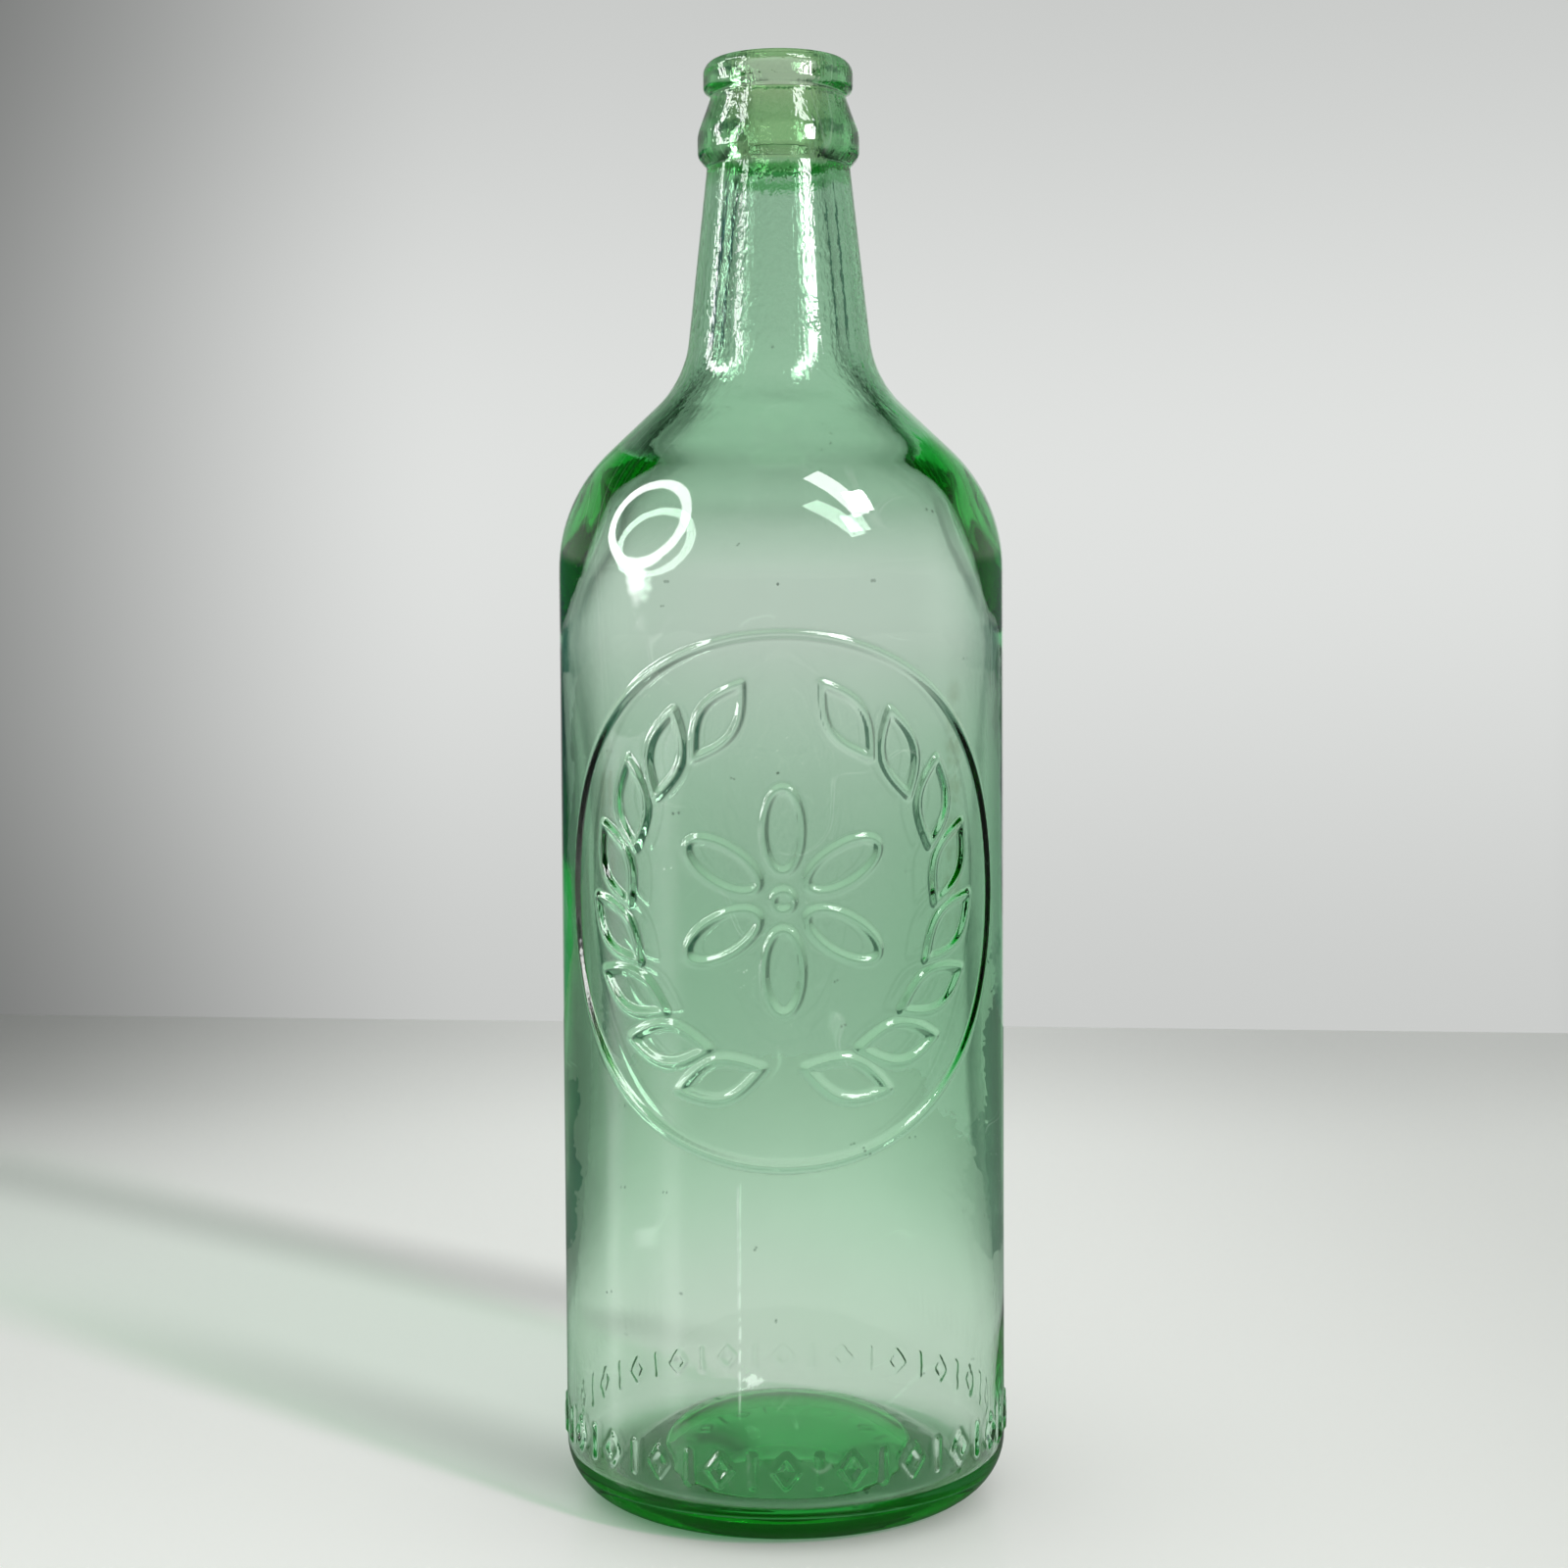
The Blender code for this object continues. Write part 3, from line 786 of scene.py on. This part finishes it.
def glass_material(look, outline):
    """Clear green glass: tinted through its depth, rippled, and scuffed where it is handled; the
    scuffs glow with painted light.
    """
    material = bpy.data.materials.new("green glass")
    wire = empty_tree(material)
    skin = GlassSkin(wire, outline)
    worn = skin.worn(look)
    # Painted light: the scuffs and the painted highlight glow through Emission Color
    glass = wire.node("BsdfPrincipled", {
        "Base Color": wire.blend(worn, skin.colour(look), (0.85, 0.88, 0.85, 1)),
        "Roughness": worn * 0.4 + look.polish, "Metallic": worn, "IOR": look.refraction,
        "Transmission Weight": 1.0, "Normal": skin.ripples(look), "Emission Strength": 1.0,
        "Emission Color": wire.blend(worn, BLACK, (0.75, 0.80, 0.76, 1))})
    clear = wire.node("BsdfTransparent", {"Color": (0.935, 0.95, 0.94, 1)})
    surface = wire.node("MixShader", {"Fac": wire.ray("Is Shadow Ray"), 1: glass, 2: clear})
    depth = wire.node("VolumeAbsorption", {"Color": (*look.tint, 1), "Density": look.tint_density})
    wire.node("OutputMaterial", {"Surface": surface, "Volume": depth})
    return material


class MakeBottle(bpy.types.Operator):
    """Make the glass bottle, with its raised ornament"""

    bl_idname = "cordial.bottle"
    bl_label = "Glass Bottle"

    def execute(self, context):
        scene = context.scene
        mesh = bottle_mesh(scene.bottle_sizes, scene.ornament_sizes)
        mesh.materials.append(glass_material(scene.glass_look, scene.bottle_sizes))
        bottle = bpy.data.objects.new("bottle_glass", mesh)
        scene.collection.objects.link(bottle)
        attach(bottle, "root")
        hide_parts("glass_bottle")
        return {"FINISHED"}


def heading(side, rise):
    """A direction, turned to the right of the front and raised, both in degrees."""
    side, rise = math.radians(side), math.radians(rise)
    level = math.cos(rise)
    return Vector((math.sin(side) * level, -math.cos(side) * level, math.sin(rise)))


def soft_box(way, side, rise, width, height, turn):
    """One where a soft rectangular lamp of this size, in tangents, shows in the glass."""
    middle = heading(side, rise)
    across = Vector((0, 0, 1)).cross(-middle).normalized()
    up = across.cross(-middle).normalized()
    up = -up if up.z < 0 else up
    turn = math.radians(turn)
    facing = way.dot(middle)
    ahead = facing.maths("MAXIMUM", facing, 0.001)
    first = way.dot(across * math.cos(turn) + up * math.sin(turn)) / ahead
    second = way.dot(up * math.cos(turn) - across * math.sin(turn)) / ahead
    inside = first.near(width / 2 - BOX_EDGE, width / 2 + BOX_EDGE)
    inside = inside * second.near(height / 2 - BOX_EDGE, height / 2 + BOX_EDGE)
    return inside * facing.smooth(0.05, 0.2)


def ring_lamp(way, side, rise, radius, band):
    """One where a ring-shaped lamp shows in the glass, its radius and band in degrees."""
    facing = way.dot(heading(side, rise))
    inner = math.cos(math.radians(radius - band / 2))
    outer = math.cos(math.radians(radius + band / 2))
    within = facing.smooth(outer - RING_EDGE, outer + RING_EDGE)
    return within * facing.smooth(inner - RING_EDGE, inner + RING_EDGE, 1, 0)


def world_light(scene, look):
    """The backdrop and the lamps that the glass shows, and the even light for everything."""
    world = bpy.data.worlds.new("studio")
    scene.world = world
    wire = empty_tree(world)
    way = wire.node("TexCoord", output="Generated")
    x, y, z = way.parts()
    side = wire.maths("ARCTAN2", x, y)

    # The backdrop, dimmer to the left, at its foot, high up and in its left corners
    corners = z.smooth(-0.16, -0.02, 1, 0) + z.smooth(0.10, 0.24)
    corners = side.smooth(-0.25, -0.06, 1, 0) * corners
    backdrop = side.smooth(-0.345, -0.113, 0.3, 1.0) * z.smooth(-0.16, 0.05, 0.80, 1.0)
    backdrop = backdrop * (1 - corners * 0.15) * z.smooth(0.05, 0.28, 1.0, 0.76)

    # The room beside and behind it, dark at the back and overhead where the glass mirrors it
    away = side.size()
    aside, behind = away.smooth(0.28, 0.36), away.smooth(1.05, 1.35)
    dim = away.smooth(0.5, 0.8, 0.50, 0.66)
    few = wire.maths("LESS_THAN", wire.ray("Ray Depth"), 4.5)
    mirrored = few * wire.maths("GREATER_THAN", wire.ray("Glossy Depth"), 0.5)
    dark_room = mirrored * wire.maths("MAXIMUM", away.smooth(1.5, 2.0), z.smooth(0.3, 0.55))
    shade = (backdrop * (1 - aside) + aside * dim) * (1 - behind) + behind * 0.62
    light = wire.blend(shade * (1 - dark_room * 0.96), BLACK, (*look.backdrop_colour, 1))
    benches = aside * (1 - behind) * z.smooth(-0.150, -0.135) * z.smooth(0.04, 0.09, 1, 0)
    benches = benches * side.smooth(-0.1, 0.1, 0.95, 0.70)
    pattern = wire.blend(benches, light, (*look.bench_colour, 1))

    # The lamps, which only show in the glass, and the even light that all other rays get
    lamps = ring_lamp(way, side=-79, rise=25.2, radius=21.8, band=5.2)
    lamps = lamps + soft_box(way, side=41, rise=49, width=0.165, height=0.62, turn=-18)
    seen = wire.node("Background", {"Color": pattern, "Strength": 1.0})
    glow = lamps * few * look.lamp_strength
    lit = wire.node("Background", {"Color": (1, 1, 1, 1), "Strength": glow})
    unlit = wire.node("Background", {"Strength": 0.0})
    direct, glossy, through = map(
        wire.ray, ("Is Camera Ray", "Is Glossy Ray", "Is Transmission Ray"))
    mirrored_lamps = wire.node("MixShader", {"Fac": direct, 1: lit, 2: unlit})
    shown = wire.node("AddShader", {0: seen, 1: mirrored_lamps})
    room = wire.node("Background", {"Color": (0.97, 1.0, 0.99, 1), "Strength": look.room_light})
    seen_ray = wire.maths("ADD", direct + glossy, through, clamp=True)
    surface = wire.node("MixShader", {"Fac": seen_ray, 1: room, 2: shown})
    wire.node("OutputWorld", {"Surface": surface})


def table(look):
    """A flat pale table top, its back edge turned a little."""
    width, front, steps = 4.0, 3.0, 24
    across, along = np.meshgrid(np.linspace(-width, width, steps), np.linspace(0, 1, steps))
    back = look.table_depth - across * math.tan(look.table_turn)
    depth = -front + (back + front) * along
    points = np.stack([across, depth, np.zeros_like(across)], axis=-1).reshape(-1, 3)
    numbers = np.arange(points.shape[0]).reshape(across.shape)
    faces = np.stack(
        [numbers[:-1, :-1], numbers[:-1, 1:], numbers[1:, 1:], numbers[1:, :-1]], axis=-1)
    mesh = bpy.data.meshes.new("table")
    mesh.from_pydata(points.tolist(), [], faces.reshape(-1, 4).tolist())
    return mesh


def shadow_edge(x, y, turn, offset, width, first, full, last):
    """One along a soft straight band of painted shadow on the table, that grows from first to full,
    up to last.
    """
    cosine, sine = math.cos(math.radians(turn)), math.sin(math.radians(turn))
    across = x * cosine + y * sine - offset
    along = y * cosine - x * sine
    return across.near(0.0, width) * along.smooth(first, full) * along.smooth(full, last, 1.0, 0.0)


def table_material(look):
    """A pale satin top with painted shade: darker at its far edge, far left and right, and two
    shadow edges.
    """
    material = bpy.data.materials.new("table top")
    wire = empty_tree(material)
    x, y, _ = wire.node("TexCoord", output="Object").parts()
    depth = y + x * math.tan(look.table_turn)
    # Painted shade: darker towards the far edge, the far left and the right; painted light: a
    # little lighter in front at the left
    shade = depth.smooth(0.30, look.table_depth, 0.926, 0.70)
    left = x.smooth(-0.36, -0.05, 1.0, 0.0) * depth.smooth(0.13, 0.42)
    front = y.smooth(-0.06, 0.10, 1.0, 0.0) * x.smooth(-0.06, 0.05, 1.0, 0.0)
    shade = shade * (1 - left * 0.68) * x.smooth(0.03, 0.22, 1.0, 0.80) * (front * 0.08 + 1)
    # Painted shadow: two soft edges of the bottle's shadow on the table
    long_edge = shadow_edge(
        x, y, turn=49.8, offset=0.0719, width=0.028, first=0.07, full=0.13, last=0.60)
    short_edge = shadow_edge(
        x, y, turn=46.1, offset=-0.0224, width=0.024, first=0.0, full=0.04, last=0.24)
    shade = shade * (1 - long_edge * 0.31) * (1 - short_edge * 0.27)
    colour = wire.blend(shade, BLACK, (*look.table_colour, 1))
    # Painted shade: where the glass mirrors the table, the table is dark
    mirrored = wire.ray("Glossy Depth") * wire.maths("LESS_THAN", wire.ray("Ray Depth"), 1.5)
    colour = wire.blend(mirrored, colour, (0.10, 0.11, 0.10, 1))
    surface = wire.node("BsdfPrincipled", {"Base Color": colour, "Roughness": 0.32, "IOR": 1.4})
    wire.node("OutputMaterial", {"Surface": surface})
    return material


def lamp(scene, name, place, aim, width, height, power, mirrored=False):
    """A soft rectangular lamp aimed at a place: it lights the table or shows in the glass."""
    light = bpy.data.lights.new(name, "AREA")
    light.shape, light.size, light.size_y, light.energy = "RECTANGLE", width, height, power
    thing = bpy.data.objects.new(name, light)
    thing.location = place
    thing.rotation_euler = (aim - place).to_track_quat("-Z", "Y").to_euler()
    thing.visible_camera = False
    thing.visible_diffuse = not mirrored
    thing.visible_glossy = thing.visible_transmission = mirrored
    scene.collection.objects.link(thing)


def camera(scene):
    """The photograph's camera, a little above the medallion's height and looking slightly down."""
    down, side, roll = map(math.radians, CAMERA_ANGLES)
    level = math.cos(down)
    ahead = Vector((math.sin(side) * level, math.cos(side) * level, -math.sin(down)))
    right = ahead.cross(Vector((0, 0, 1))).normalized()
    up = right.cross(ahead)
    right, up = (right * math.cos(roll) + up * math.sin(roll),
                 up * math.cos(roll) - right * math.sin(roll))
    data = bpy.data.cameras.new("camera")
    data.sensor_width, data.lens = 36.0, CAMERA_LENS
    data.clip_start, data.clip_end = 0.01, 100.0
    eye = bpy.data.objects.new("camera", data)
    turned = Matrix((right, up, -ahead)).transposed().to_4x4()
    eye.matrix_world = Matrix.Translation(CAMERA_PLACE) @ turned
    scene.collection.objects.link(eye)
    scene.camera = eye


class MakeStage(bpy.types.Operator):
    """Make the table, the backdrop, the lights and the camera"""

    bl_idname = "cordial.stage"
    bl_label = "Stage"

    def execute(self, context):
        scene = context.scene
        look = scene.stage_look
        mesh = table(look)
        mesh.materials.append(table_material(look))
        top = bpy.data.objects.new("table", mesh)
        scene.collection.objects.link(top)
        world_light(scene, look)
        lamp(scene, "key", place=heading(43, 32) * 1.4, aim=Vector((0, 0, 0.1)),
             width=0.11, height=0.11, power=look.key_power)
        neck = Vector((0.005, -0.0145, 0.221))
        lamp(scene, "strip", place=neck + heading(44.5, 21.5) * 0.13, aim=neck,
             width=0.032, height=0.040, power=look.strip_power, mirrored=True)
        camera(scene)
        scene.view_settings.view_transform = "Standard"
        scene.cycles.caustics_reflective = scene.cycles.caustics_refractive = False
        for kind in ("max_bounces", "glossy_bounces", "transmission_bounces"):
            setattr(scene.cycles, kind, 64)
        return {"FINISHED"}


class BottlePanel(bpy.types.Panel):
    """The bottle's sizes, its looks and the buttons that make it"""

    bl_idname = "VIEW3D_PT_cordial_bottle"
    bl_label = "Cordial Bottle"
    bl_space_type = "VIEW_3D"
    bl_region_type = "UI"
    bl_category = "Cordial Bottle"

    def draw(self, context):
        for name in GROUPS:
            group = getattr(context.scene, name)
            box = self.layout.box()
            for key in group.__annotations__:
                box.prop(group, key)
        for operator in (MakeBottle, MakeStage):
            self.layout.operator(operator.bl_idname)


GROUPS = {"bottle_sizes": BottleSizes, "ornament_sizes": OrnamentSizes,
          "glass_look": GlassLook, "stage_look": StageLook}
CLASSES = (*GROUPS.values(), MakeBottle, MakeStage, BottlePanel)


def register():
    for part in CLASSES:
        bpy.utils.register_class(part)
    for name, group in GROUPS.items():
        setattr(bpy.types.Scene, name, bpy.props.PointerProperty(type=group))


def unregister():
    for name in GROUPS:
        delattr(bpy.types.Scene, name)
    for part in reversed(CLASSES):
        bpy.utils.unregister_class(part)


def main():
    register()
    bpy.ops.cordial.bottle()
    bpy.ops.cordial.stage()


if __name__ == "__main__":
    main()
